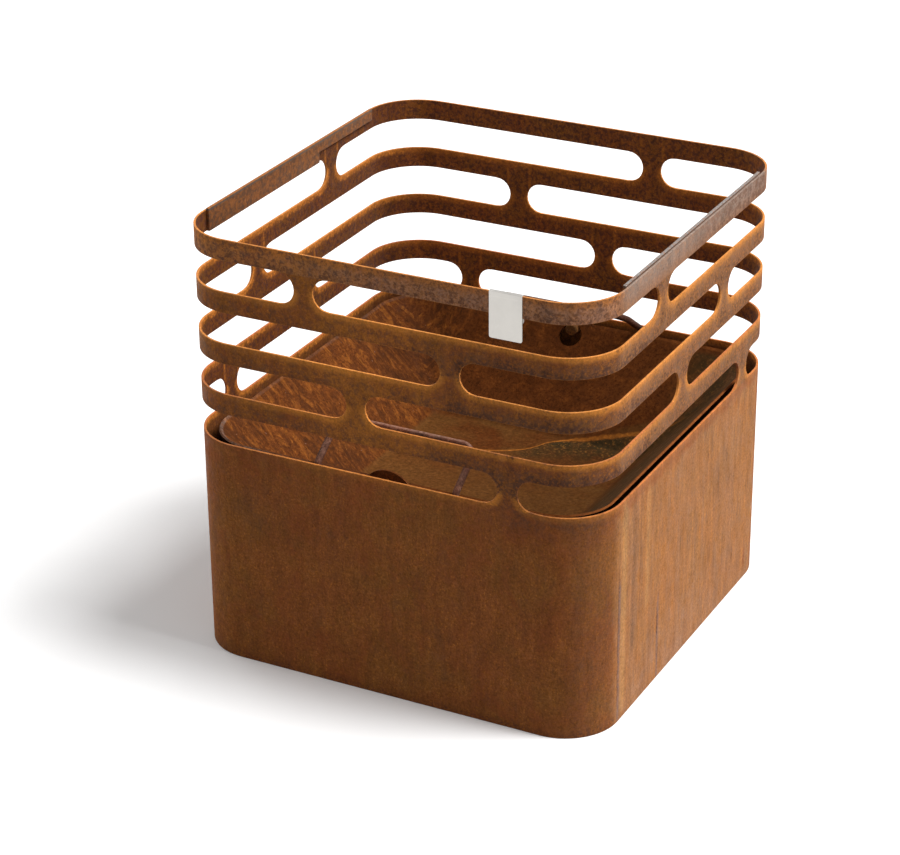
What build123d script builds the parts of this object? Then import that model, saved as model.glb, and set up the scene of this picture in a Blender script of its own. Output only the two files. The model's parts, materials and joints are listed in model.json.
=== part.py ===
from build123d import *
import math
import os

# A square fire basket of weathering steel sheet. A fire bowl hangs on two pins inside
# the shell and turns about them. The origin is at the bottom centre: X runs along the
# front wall, Y runs from front to back, and Z is up. All lengths are in millimetres.

# Shell: one sheet bent round into a square ring with rounded corners, open at both ends
shell_width = 423.0
shell_depth = 423.0
shell_height = 428.0
shell_corner_radius = 53.5
shell_sheet = 2.2

# Windows: rows of long slots that wrap round the corners, with one strut on each wall.
# The strut places are measured along a wall from its middle, for the rows from the top.
top_band_height = 20.4
window_height = 30.4
band_height = 20.5
strut_width = 19.0
strut_places = (-76.0, 69.0, -25.6, 124.5)

# Edge strips: flat bars inside the top band of the left and right walls, each of which
# ends this far short of the rounded corners. The foot steps up at a place along the wall.
strip_corner_gap = 3.0
strip_thickness = 3.0
strip_proud = 2.0
strip_edge_radius = 0.8
strip_step_place = -48.0
strip_step = 10.4
half_turn = 180.0

# Label clip: a bare plate folded over the top band of the front wall, this far short of
# the rounded corner
clip_sheet = 0.8
clip_width = 31.5
clip_corner_gap = 18.85
clip_front_drop = 42.7
clip_back_drop = 26.0
clip_bend_radius = 0.7
clip_corner_radius = 2.0

# Fire bowl: a hopper of sheet with a flat floor and a level rim
bowl_sheet = 2.0
bowl_gap = 8.6
bowl_rim_above_axis = 5.0
bowl_depth = 89.0
bowl_slope = 46.5
bowl_rim_corner_radius = 51.0
bowl_floor_corner_radius = 12.0

# Pivot: a pin inside the front wall and one inside the rear wall, each through a keyhole.
# The rim rises in an ear over each keyhole.
pin_diameter = 12.5
pin_fit = 0.1
pin_past_bowl = 4.0
pin_end_chamfer = 1.0
keyhole_diameter = 24.0
keyhole_drop = 6.4
ear_margin = 8.4
ear_half_width = 20.5
ear_flare_radius = 4.0

# Bowl handles: a bent rod on the front and on the rear of the bowl
handle_rod_diameter = 6.5
handle_leg_spacing = 141.0
handle_corner_radius = 14.0
handle_reach_in = 37.2
handle_rise = 32.5
handle_lean = 34.5
handle_hook_radius = 5.6
handle_foot_length = 34.0
handle_seat_gap = 0.1

# Cuts run past the faces that they go through by this much
overrun = 1.0

os.makedirs("parts", exist_ok=True)

# Places that several pieces share
inner_half_width = shell_width / 2 - shell_sheet
inner_half_depth = shell_depth / 2 - shell_sheet
inner_corner_radius = shell_corner_radius - shell_sheet
pin_height = shell_height / 2
slope = math.radians(bowl_slope)

# Rim and floor of the bowl, set from the pin axis
rim_height = pin_height + bowl_rim_above_axis
floor_height = rim_height - bowl_depth
rim_half_width = inner_half_width - bowl_gap
rim_half_depth = inner_half_depth - bowl_gap


# Shell
# Each wall has a plane on its outer face, with its own X along the wall and its own Y up.
wall_planes = (
    (Plane((0, -shell_depth / 2, 0), x_dir=(1, 0, 0), z_dir=(0, -1, 0)), shell_width),
    (Plane((shell_width / 2, 0, 0), x_dir=(0, 1, 0), z_dir=(1, 0, 0)), shell_depth),
    (Plane((0, shell_depth / 2, 0), x_dir=(-1, 0, 0), z_dir=(0, 1, 0)), shell_width),
    (Plane((-shell_width / 2, 0, 0), x_dir=(0, -1, 0), z_dir=(-1, 0, 0)), shell_depth),
)
window_end_radius = window_height / 2
corner_cut = shell_corner_radius + overrun


def window_ends(place, middle_height, wall_length):
    """Sketch of the two windows that meet at one strut, as far as the wall is flat."""
    flat_end = wall_length / 2 - shell_corner_radius
    for side in (-1, 1):
        end_centre = place + side * (strut_width / 2 + window_end_radius)
        flat_length = flat_end - side * end_centre
        with Locations((end_centre, middle_height)):
            Circle(window_end_radius)
        with Locations((end_centre + side * flat_length / 2, middle_height)):
            Rectangle(flat_length, window_height)


with BuildPart() as shell:
    with BuildSketch():
        RectangleRounded(shell_width, shell_depth, shell_corner_radius)
        RectangleRounded(
            2 * inner_half_width, 2 * inner_half_depth, inner_corner_radius, mode=Mode.SUBTRACT
        )
    extrude(amount=shell_height)
    for row, strut_place in enumerate(strut_places):
        window_top = shell_height - top_band_height - row * (window_height + band_height)
        window_foot = window_top - window_height
        with BuildSketch(Plane.XY.offset(window_foot)):
            with GridLocations(
                shell_width + overrun - shell_corner_radius,
                shell_depth + overrun - shell_corner_radius,
                2,
                2,
            ):
                Rectangle(corner_cut, corner_cut)
        extrude(amount=window_height, mode=Mode.SUBTRACT)
        for wall, wall_length in wall_planes:
            with BuildSketch(wall.offset(overrun)):
                window_ends(strut_place, window_foot + window_end_radius, wall_length)
            extrude(amount=-(shell_sheet + 2 * overrun), mode=Mode.SUBTRACT)

shell.part.label = "shell"


# Edge strips
# Each bar rises past the band's upper edge. Along the long window its foot is level with
# the band's lower edge, and past the step it ends higher up, behind the band.
strip_foot = shell_height - top_band_height
strip_top = shell_height + strip_proud
strip_end = shell_depth / 2 - shell_corner_radius - strip_corner_gap

with BuildPart() as right_strip:
    with BuildSketch(Plane.YZ.offset(inner_half_width)):
        with BuildLine():
            Polyline(
                (strip_end, strip_foot),
                (strip_end, strip_top),
                (-strip_end, strip_top),
                (-strip_end, strip_foot + strip_step),
                (strip_step_place, strip_foot + strip_step),
                (strip_step_place, strip_foot),
                close=True,
            )
        make_face()
    extrude(amount=-strip_thickness)
    fillet(right_strip.edges().group_by(Axis.Z)[-1], strip_edge_radius)

with BuildPart() as left_strip:
    add(right_strip.part.rotate(Axis.Z, half_turn))

right_strip.part.label = "right_strip"
left_strip.part.label = "left_strip"


# Label clip
# Its section is drawn on the plane square to the front wall: Y is across the wall.
front_outer = -shell_depth / 2
front_inner = -inner_half_depth
clip_top = shell_height + clip_sheet
clip_right_side = shell_width / 2 - shell_corner_radius - clip_corner_gap

with BuildPart() as label_clip:
    with BuildSketch(Plane.YZ.offset(clip_right_side - clip_width)):
        with BuildLine():
            Polyline(
                (front_outer, shell_height),
                (front_outer, shell_height - clip_front_drop),
                (front_outer - clip_sheet, shell_height - clip_front_drop),
                (front_outer - clip_sheet, clip_top),
                (front_inner + clip_sheet, clip_top),
                (front_inner + clip_sheet, shell_height - clip_back_drop),
                (front_inner, shell_height - clip_back_drop),
                (front_inner, shell_height),
                close=True,
            )
        make_face()
    extrude(amount=clip_width)
    bends = label_clip.edges().filter_by(Axis.X).group_by(Axis.Z)[-1]
    fillet(bends, clip_bend_radius)
    corners = label_clip.edges().filter_by(Axis.Y).filter_by_position(
        Axis.Z, 0, shell_height - overrun
    )
    fillet(corners, clip_corner_radius)

label_clip.part.label = "label_clip"


# Fire bowl
# The outside is a hopper from a small rounded square to the rim. The inside is the same
# hopper one sheet smaller, down to the top of the floor.
bowl_wall_run = bowl_sheet / math.sin(slope)
bowl_foot_height = floor_height - bowl_sheet
ear_top_height = pin_height + pin_diameter / 2 + ear_margin
keyhole_height = pin_height - keyhole_drop
slot_radius = pin_diameter / 2 + pin_fit


def bowl_inset(height):
    """How far the outside of the bowl's wall stands in from the rim at this height."""
    return (rim_height - height) / math.tan(slope)


def bowl_outline(height, skin):
    """The bowl's outline at a height, a skin inside its outer surface."""
    inset = bowl_inset(height) + skin
    rise_share = (height - bowl_foot_height) / (rim_height - bowl_foot_height)
    corner_growth = bowl_rim_corner_radius - bowl_floor_corner_radius
    RectangleRounded(
        2 * (rim_half_width - inset),
        2 * (rim_half_depth - inset),
        bowl_floor_corner_radius + rise_share * corner_growth - skin,
    )


# The ear's top is an arc, and a small arc runs out to the rim on each side of it.
ear_rise = ear_top_height - rim_height
ear_radius = (ear_rise**2 + ear_half_width**2) / (2 * ear_rise)
ear_centre_height = ear_top_height - ear_radius
flare_drop = rim_height + ear_flare_radius - ear_centre_height
flare_centre = math.sqrt((ear_radius + ear_flare_radius) ** 2 - flare_drop**2)
flare_share = ear_radius / (ear_radius + ear_flare_radius)
flare_top_place = flare_centre * flare_share
flare_top_height = ear_centre_height + flare_drop * flare_share
flare_angle = math.atan2(flare_centre, flare_drop) / 2
flare_middle_place = flare_centre - ear_flare_radius * math.sin(flare_angle)
flare_middle_height = rim_height + ear_flare_radius * (1 - math.cos(flare_angle))

with BuildPart() as fire_bowl:
    for level in (bowl_foot_height, rim_height):
        with BuildSketch(Plane.XY.offset(level)):
            bowl_outline(level, 0)
    loft(ruled=True)
    for level in (floor_height, rim_height):
        with BuildSketch(Plane.XY.offset(level)):
            bowl_outline(level, bowl_wall_run)
    loft(ruled=True, mode=Mode.SUBTRACT)
    for side in (-1, 1):
        ear_plane = Plane((0, side * rim_half_depth, 0), x_dir=(1, 0, 0), z_dir=(0, -1, 0))
        with BuildSketch(ear_plane):
            with BuildLine():
                Line((-flare_centre, rim_height), (flare_centre, rim_height))
                ThreePointArc(
                    (flare_centre, rim_height),
                    (flare_middle_place, flare_middle_height),
                    (flare_top_place, flare_top_height),
                )
                ThreePointArc(
                    (flare_top_place, flare_top_height),
                    (0, ear_top_height),
                    (-flare_top_place, flare_top_height),
                )
                ThreePointArc(
                    (-flare_top_place, flare_top_height),
                    (-flare_middle_place, flare_middle_height),
                    (-flare_centre, rim_height),
                )
            make_face()
        extrude(amount=side * bowl_sheet)
        keyhole_place = side * (rim_half_depth - bowl_inset(keyhole_height))
        hole_plane = Plane(
            (0, keyhole_place, keyhole_height),
            x_dir=(1, 0, 0),
            z_dir=(0, side * math.sin(slope), -math.cos(slope)),
        )
        with BuildSketch(hole_plane.offset(overrun)):
            Circle(keyhole_diameter / 2)
        extrude(amount=-(bowl_sheet + 2 * overrun), mode=Mode.SUBTRACT)
    with BuildSketch(Plane.XZ):
        with Locations((0, pin_height)):
            Circle(slot_radius)
        with Locations((0, pin_height - keyhole_drop / 2)):
            Rectangle(2 * slot_radius, keyhole_drop)
    extrude(amount=rim_half_depth + overrun, both=True, mode=Mode.SUBTRACT)

fire_bowl.part.label = "fire_bowl"


# Pivot pins
# A pin stands square on the inside of its wall and reaches past the bowl's wall.
pin_length = bowl_gap + bowl_inset(pin_height) + bowl_wall_run + pin_past_bowl

with BuildPart() as front_pivot_pin:
    with BuildSketch(Plane.XZ.offset(inner_half_depth)):
        with Locations((0, pin_height)):
            Circle(pin_diameter / 2)
    extrude(amount=-pin_length)
    chamfer(front_pivot_pin.edges().group_by(Axis.Y)[-1], pin_end_chamfer)

with BuildPart() as rear_pivot_pin:
    add(mirror(front_pivot_pin.part, about=Plane.XZ))

front_pivot_pin.part.label = "front_pivot_pin"
rear_pivot_pin.part.label = "rear_pivot_pin"


# Bowl handles
# The rod's leg leans inward over the rim. Its foot runs back down along the outside of
# the bowl's wall, and the two meet in a hook outside the rim.
rod_radius = handle_rod_diameter / 2
lean = math.radians(handle_lean)
leg_half_spacing = handle_leg_spacing / 2
bar_depth = rim_half_depth - handle_reach_in
bar_height = rim_height + handle_rise
foot_offset = rod_radius + handle_seat_gap
foot_start_depth = rim_half_depth + foot_offset * math.sin(slope)
foot_start_height = rim_height - foot_offset * math.cos(slope)
hook_depth = (
    bar_height
    + bar_depth * math.tan(lean)
    - foot_start_height
    + foot_start_depth * math.tan(slope)
) / (math.tan(lean) + math.tan(slope))
hook_height = bar_height - (hook_depth - bar_depth) * math.tan(lean)
foot_depth = hook_depth - handle_foot_length * math.cos(slope)
foot_height = hook_height - handle_foot_length * math.sin(slope)

with BuildPart() as rear_handle:
    with BuildLine() as rod_path:
        FilletPolyline(
            (-leg_half_spacing, foot_depth, foot_height),
            (-leg_half_spacing, hook_depth, hook_height),
            (-leg_half_spacing, bar_depth, bar_height),
            (leg_half_spacing, bar_depth, bar_height),
            (leg_half_spacing, hook_depth, hook_height),
            (leg_half_spacing, foot_depth, foot_height),
            radius=(
                handle_hook_radius,
                handle_corner_radius,
                handle_corner_radius,
                handle_hook_radius,
            ),
        )
    with BuildSketch(Plane(rod_path.line @ 0, z_dir=rod_path.line % 0)):
        Circle(rod_radius)
    sweep()

with BuildPart() as front_handle:
    add(mirror(rear_handle.part, about=Plane.XZ))

rear_handle.part.label = "rear_handle"
front_handle.part.label = "front_handle"


pieces = (
    shell,
    left_strip,
    right_strip,
    label_clip,
    fire_bowl,
    front_handle,
    rear_handle,
    front_pivot_pin,
    rear_pivot_pin,
)
for piece in pieces:
    export_step(piece.part, f"parts/{piece.part.label}.step")
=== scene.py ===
import json
import math

import bmesh
import bpy
from mathutils import Euler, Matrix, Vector


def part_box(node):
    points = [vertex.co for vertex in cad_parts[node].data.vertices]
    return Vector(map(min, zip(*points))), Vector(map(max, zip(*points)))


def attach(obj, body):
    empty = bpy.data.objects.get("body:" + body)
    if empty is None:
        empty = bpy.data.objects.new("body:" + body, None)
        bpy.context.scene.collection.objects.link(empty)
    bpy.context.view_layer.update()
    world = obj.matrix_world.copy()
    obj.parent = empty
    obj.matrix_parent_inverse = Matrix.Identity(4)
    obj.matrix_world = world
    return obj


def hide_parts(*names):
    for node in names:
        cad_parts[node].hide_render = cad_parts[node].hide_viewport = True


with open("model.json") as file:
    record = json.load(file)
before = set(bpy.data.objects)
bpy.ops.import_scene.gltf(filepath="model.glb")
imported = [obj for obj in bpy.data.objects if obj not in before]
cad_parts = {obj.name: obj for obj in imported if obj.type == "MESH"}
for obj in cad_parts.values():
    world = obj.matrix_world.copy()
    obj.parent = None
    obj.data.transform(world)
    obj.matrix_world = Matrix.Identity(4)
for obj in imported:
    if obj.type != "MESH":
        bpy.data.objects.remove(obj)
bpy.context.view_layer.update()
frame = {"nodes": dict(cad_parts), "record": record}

bl_info = {
    "name": "Fire basket",
    "version": (1, 0, 0),
    "blender": (4, 5, 0),
    "location": "3D View > Sidebar > Fire basket",
    "description": "Dresses a square fire basket of rusted sheet steel",
    "category": "Object",
}

SHELL_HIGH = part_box("shell")[1]
MM = 0.001

# How finely the meshes are divided.
SHELL_CORNER_PARTS = 18
BODY_RINGS = 8
STRUT_PARTS = 12
CLOSEST_PLACES, WIDEST_PLACES = 2 * MM, 14 * MM
BOWL_CORNER_PARTS = 14
FOLD_PARTS = 6
EAR_SHARES = (0, 0.1, 0.2, 0.3, 0.4, 0.5, 0.6, 0.68, 0.76, 0.82, 0.87, 0.92, 0.96, 1)
RIM_SHARES = (0.35, 0.55, 0.78, 1.0)
SLOT_PARTS = 24

# The camera's lens in millimetres, its place in metres and its turn in degrees.
CAMERA_LENS = 108.8586
CAMERA_PLACE = (1.059897, -2.117451, 1.319730)
CAMERA_TURN = (64.4121, 0.4502, 27.251)
FLOOR_REACH = 8.0


class FireBasketSettings(bpy.types.PropertyGroup):
    """Sizes and colours of the fire basket."""

    corner_radius: bpy.props.FloatProperty(
        name="Corner radius", description="Outer radius of the shell's corners",
        default=53.5 * MM, unit="LENGTH")
    sheet: bpy.props.FloatProperty(
        name="Sheet", description="Thickness of the shell's sheet",
        default=2.2 * MM, unit="LENGTH")
    top_band: bpy.props.FloatProperty(
        name="Top band", description="Height of the band over the windows",
        default=20.4 * MM, unit="LENGTH")
    window: bpy.props.FloatProperty(
        name="Window", description="Height of one row of windows",
        default=30.4 * MM, unit="LENGTH")
    band: bpy.props.FloatProperty(
        name="Band", description="Height of a band between two rows",
        default=20.5 * MM, unit="LENGTH")
    strut: bpy.props.FloatProperty(
        name="Strut", description="Width of a strut at its middle",
        default=19.0 * MM, unit="LENGTH")
    strut_places: bpy.props.FloatVectorProperty(
        name="Strut places", description="How far each row's strut is from the middle of its wall",
        size=4, default=(-76 * MM, 69 * MM, -25.6 * MM, 124.5 * MM), unit="LENGTH")
    sheet_edge: bpy.props.FloatProperty(
        name="Sheet edge", description="How far the cut edges of the sheets are rounded",
        default=0.4 * MM, unit="LENGTH")
    bowl_sheet: bpy.props.FloatProperty(
        name="Bowl sheet", description="Thickness of the bowl's sheet",
        default=2.0 * MM, unit="LENGTH")
    bowl_slope: bpy.props.FloatProperty(
        name="Bowl slope", description="How steep the bowl's walls are",
        default=math.radians(46.5), subtype="ANGLE")
    bowl_fold: bpy.props.FloatProperty(
        name="Bowl fold", description="Inner radius of the fold between the bowl's walls and floor",
        default=7.0 * MM, unit="LENGTH")
    bowl_rim_corner: bpy.props.FloatProperty(
        name="Bowl rim corner", description="Outer radius of the corners of the bowl's rim",
        default=51.0 * MM, unit="LENGTH")
    bowl_floor_corner: bpy.props.FloatProperty(
        name="Bowl floor corner", description="Outer radius of the corners of the bowl's foot",
        default=12.0 * MM, unit="LENGTH")
    bowl_depth: bpy.props.FloatProperty(
        name="Bowl depth", description="From the bowl's rim to the top of its floor",
        default=89.0 * MM, unit="LENGTH")
    rim_above_pin: bpy.props.FloatProperty(
        name="Rim above pin", description="Height of the bowl's rim over the middle of the pins",
        default=5.0 * MM, unit="LENGTH")
    ear_half_width: bpy.props.FloatProperty(
        name="Ear half width", description="Half of the ear's width where its arc meets the rim",
        default=20.5 * MM, unit="LENGTH")
    ear_flare: bpy.props.FloatProperty(
        name="Ear flare", description="Radius of the small arc between the ear and the rim",
        default=4.0 * MM, unit="LENGTH")
    keyhole_radius: bpy.props.FloatProperty(
        name="Keyhole radius", description="Radius of the round part of the keyhole",
        default=12.0 * MM, unit="LENGTH")
    keyhole_drop: bpy.props.FloatProperty(
        name="Keyhole drop", description="Height of the pin over the middle of the keyhole",
        default=6.4 * MM, unit="LENGTH")
    pin_fit: bpy.props.FloatProperty(
        name="Pin fit", description="Gap between the pin and the slot that it bears in",
        default=0.1 * MM, unit="LENGTH")
    rust_brown: bpy.props.FloatVectorProperty(
        name="Brown rust", description="Main colour of the shell's patina", subtype="COLOR",
        default=(0.325, 0.102, 0.025))
    rust_orange: bpy.props.FloatVectorProperty(
        name="Orange rust", description="Young rust round the windows and in streaks", subtype="COLOR",
        default=(0.62, 0.205, 0.03))
    rust_olive: bpy.props.FloatVectorProperty(
        name="Olive rust", description="Greenish brown of the damp places", subtype="COLOR",
        default=(0.3, 0.125, 0.024))
    rust_red: bpy.props.FloatVectorProperty(
        name="Red rust", description="Reddish brown of the old rust", subtype="COLOR",
        default=(0.29, 0.07, 0.02))
    rust_dark: bpy.props.FloatVectorProperty(
        name="Dark rust", description="Purple black of scale and specks", subtype="COLOR",
        default=(0.075, 0.026, 0.018))
    rust_pale: bpy.props.FloatVectorProperty(
        name="Pale bloom", description="Pinkish grey dust on the rust", subtype="COLOR",
        default=(0.47, 0.27, 0.19))
    rust_grey: bpy.props.FloatVectorProperty(
        name="Grey bloom", description="Grey dust by the strips", subtype="COLOR",
        default=(0.31, 0.245, 0.205))
    rust_gold: bpy.props.FloatVectorProperty(
        name="Golden rust", description="Bright young rust along the upper edges", subtype="COLOR",
        default=(0.85, 0.31, 0.05))
    rust_scale: bpy.props.FloatVectorProperty(
        name="Scale", description="Grey brown scale on the bands", subtype="COLOR",
        default=(0.125, 0.062, 0.034))
    # Partly a light rust and partly the key light's sheen on the right wall, painted into the colour.
    veil_and_sheen: bpy.props.FloatVectorProperty(
        name="Veil", description="Light rust that lies over the whole right wall", subtype="COLOR",
        default=(0.46, 0.22, 0.09))
    bowl_brown: bpy.props.FloatVectorProperty(
        name="Bowl wall", description="Dark rust of the bowl's walls", subtype="COLOR",
        default=(0.118, 0.033, 0.007))
    bowl_olive: bpy.props.FloatVectorProperty(
        name="Bowl floor", description="Olive brown of the bowl's floor", subtype="COLOR",
        default=(0.145, 0.057, 0.014))
    bowl_green: bpy.props.FloatVectorProperty(
        name="Bowl stain", description="Black green of the stain on the bowl's floor", subtype="COLOR",
        default=(0.035, 0.028, 0.012))
    rod_brown: bpy.props.FloatVectorProperty(
        name="Rod", description="Reddish brown of the handles", subtype="COLOR",
        default=(0.075, 0.036, 0.024))
    pin_brown: bpy.props.FloatVectorProperty(
        name="Pin", description="Golden brown of the pins", subtype="COLOR",
        default=(0.17, 0.08, 0.024))
    bare_steel: bpy.props.FloatVectorProperty(
        name="Bare steel", description="Steel where the rust is rubbed off", subtype="COLOR",
        default=(0.27, 0.25, 0.235))
    clip_steel: bpy.props.FloatVectorProperty(
        name="Clip steel", description="Matt stainless steel of the label clip", subtype="COLOR",
        default=(0.47, 0.45, 0.42))
    key_strength: bpy.props.FloatProperty(
        name="Key light", description="Strength of the light from the right", default=3.9)
    side_strength: bpy.props.FloatProperty(
        name="Side light", description="Strength of the weak light from the left", default=0.8)
    fill_strength: bpy.props.FloatProperty(
        name="Fill light", description="Strength of the light from all round", default=0.35)


def settings():
    """The sizes and colours that the panel shows."""
    return bpy.context.scene.fire_basket


class Tree:
    """Adds nodes to one node tree and joins them up."""

    def __init__(self, tree):
        self.tree = tree

    def add(self, kind, inputs=(), **values):
        """Adds a node. inputs says what its sockets get, and values are its own settings."""
        node = self.tree.nodes.new(kind)
        for name, value in values.items():
            setattr(node, name, value)
        for key, value in dict(inputs).items():
            self.join(value, node.inputs[key])
        return node

    def join(self, value, socket):
        """Links an output to a socket, or gives the socket a plain value."""
        if isinstance(value, bpy.types.NodeSocket):
            self.tree.links.new(value, socket)
        elif hasattr(socket.default_value, "__len__") and len(socket.default_value) == 4:
            socket.default_value = tuple(value)[:3] + (1.0,)
        else:
            socket.default_value = value

    def math(self, operation, *values, clamp=False):
        node = self.add("ShaderNodeMath", operation=operation, use_clamp=clamp)
        for socket, value in zip(node.inputs, values):
            self.join(value, socket)
        return node.outputs[0]

    def vector(self, operation, *values):
        node = self.add("ShaderNodeVectorMath", operation=operation)
        for socket, value in zip(node.inputs, values):
            self.join(value, socket)
        single = operation in ("LENGTH", "DOT_PRODUCT")
        return node.outputs["Value" if single else "Vector"]

    def scaled(self, vector, by):
        return self.vector("MULTIPLY", vector, by)

    def moved(self, vector, by):
        return self.vector("ADD", vector, by)

    def split(self, vector):
        return self.add("ShaderNodeSeparateXYZ", {0: vector}).outputs

    def gather(self, *values):
        return self.add("ShaderNodeCombineXYZ", enumerate(values)).outputs[0]

    def noise(self, where, scale, detail=3.0, roughness=0.55, distortion=0.0):
        inputs = {"Vector": where, "Scale": scale, "Detail": detail,
                  "Roughness": roughness, "Distortion": distortion}
        return self.add("ShaderNodeTexNoise", inputs, noise_dimensions="3D").outputs[0]

    def fade(self, value, low, high, to_low=0.0, to_high=1.0):
        """Goes smoothly from to_low, where the value is low, to to_high."""
        inputs = {0: value, 1: low, 2: high, 3: to_low, 4: to_high}
        return self.add("ShaderNodeMapRange", inputs, interpolation_type="SMOOTHSTEP").outputs[0]

    def fall(self, value, low, high, to_high=0.0):
        """Goes smoothly from one down to to_high."""
        return self.fade(value, low, high, 1.0, to_high)

    def times(self, *values):
        product = values[0]
        for value in values[1:]:
            product = self.math("MULTIPLY", product, value)
        return product

    def minus(self, first, second):
        return self.math("SUBTRACT", first, second)

    def less(self, share):
        """What a share leaves over of one."""
        return self.minus(1.0, share)

    def plus(self, value, factor, base):
        """A value times a factor, on top of a base."""
        return self.math("MULTIPLY_ADD", value, factor, base)

    def sway(self, noise, amount, base):
        """A base that a noise moves up and down by half an amount."""
        return self.plus(self.minus(noise, 0.5), amount, base)

    def size(self, value):
        return self.math("ABSOLUTE", value)

    def curve(self, value, low, high, points):
        """A value that follows points, whose places lie between low and high."""
        node = self.add("ShaderNodeFloatCurve", {"Value": self.math(
            "MULTIPLY", self.minus(value, low), 1.0 / (high - low), clamp=True)})
        line = node.mapping.curves[0].points
        while len(line) < len(points):
            line.new(0.5, 0.5)
        for point, (place, result) in zip(line, points):
            point.location = ((place - low) / (high - low), result)
        node.mapping.update()
        return node.outputs[0]

    def blend(self, share, first, second, kind="MIX"):
        inputs = {0: share, 6: first, 7: second}
        return self.add("ShaderNodeMix", inputs, data_type="RGBA", blend_type=kind).outputs[2]

    def shaded(self, colour, tone):
        """A colour made darker or lighter by a tone."""
        return self.blend(1.0, colour, self.gather(tone, tone, tone), "MULTIPLY")

    def group(self, name, **inputs):
        node = self.add("ShaderNodeGroup", node_tree=bpy.data.node_groups[name])
        for key, value in inputs.items():
            self.join(value, node.inputs[key.replace("_", " ")])
        return node.outputs

    def seen(self):
        """One for rays that show a surface to the camera, and nought for those that light others."""
        rays = self.add("ShaderNodeLightPath").outputs
        return self.math("MAXIMUM", rays["Is Camera Ray"], self.math(
            "MAXIMUM", rays["Is Glossy Ray"], rays["Is Transmission Ray"]))


class Coat(Tree):
    """A material whose colour is laid on coat by coat."""

    def __init__(self, name):
        material = bpy.data.materials.new(name)
        material.use_nodes = True
        material.node_tree.nodes.clear()
        super().__init__(material.node_tree)
        shader = self.add("ShaderNodeBsdfPrincipled")
        output = self.add("ShaderNodeOutputMaterial")
        self.join(shader.outputs[0], output.inputs["Surface"])
        self.shader = shader.inputs
        places = self.add("ShaderNodeTexCoord").outputs
        self.place, self.normal = places["Object"], places["Normal"]

    def rust(self, run_vector, **inputs):
        """Starts with the shared patina, and keeps the noises that later coats follow."""
        patina = self.group("Rust patina", Vector=self.place, Run_Vector=run_vector, **inputs)
        self.colour, self.roughness, self.height = patina["Color"], patina["Roughness"], patina["Height"]
        self.clouds, self.blotches, self.specks = patina["Clouds"], patina["Blotches"], patina["Specks"]

    def mottle(self):
        """The coarse grain that the sheets share."""
        return self.noise(self.moved(self.place, (4.1, 0.2, 0.7)), 210.0, 4.0, 0.7, 0.3)

    def paint(self, pigment, *shares):
        """Lays a pigment over the colour so far, as thick as the product of the shares."""
        self.colour = self.blend(self.times(*shares), self.colour, pigment)

    def shade(self, tone):
        self.colour = self.shaded(self.colour, tone)

    def finish(self, specular, strength, depth):
        """Joins the colour, the roughness and the height, as a bump, to the shader."""
        self.join(self.colour, self.shader["Base Color"])
        self.join(self.roughness, self.shader["Roughness"])
        self.shader["Specular IOR Level"].default_value = specular
        bump = self.add("ShaderNodeBump", {"Strength": strength, "Distance": depth, "Height": self.height})
        self.join(bump.outputs[0], self.shader["Normal"])


def new_group(name, inputs, outputs):
    """Makes a node group. An input without a value is a vector, and Color is a colour."""
    group = bpy.data.node_groups.new(name, "ShaderNodeTree")
    for label, value in inputs.items():
        kind = "Vector" if value is None else "Float" if isinstance(value, float) else "Color"
        socket = group.interface.new_socket(label, in_out="INPUT", socket_type=f"NodeSocket{kind}")
        if value is not None:
            socket.default_value = value
    for label in outputs:
        kind = "Color" if label == "Color" else "Float"
        group.interface.new_socket(label, in_out="OUTPUT", socket_type=f"NodeSocket{kind}")
    tree = Tree(group)
    return tree, tree.add("NodeGroupInput").outputs, tree.add("NodeGroupOutput").inputs


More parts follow.
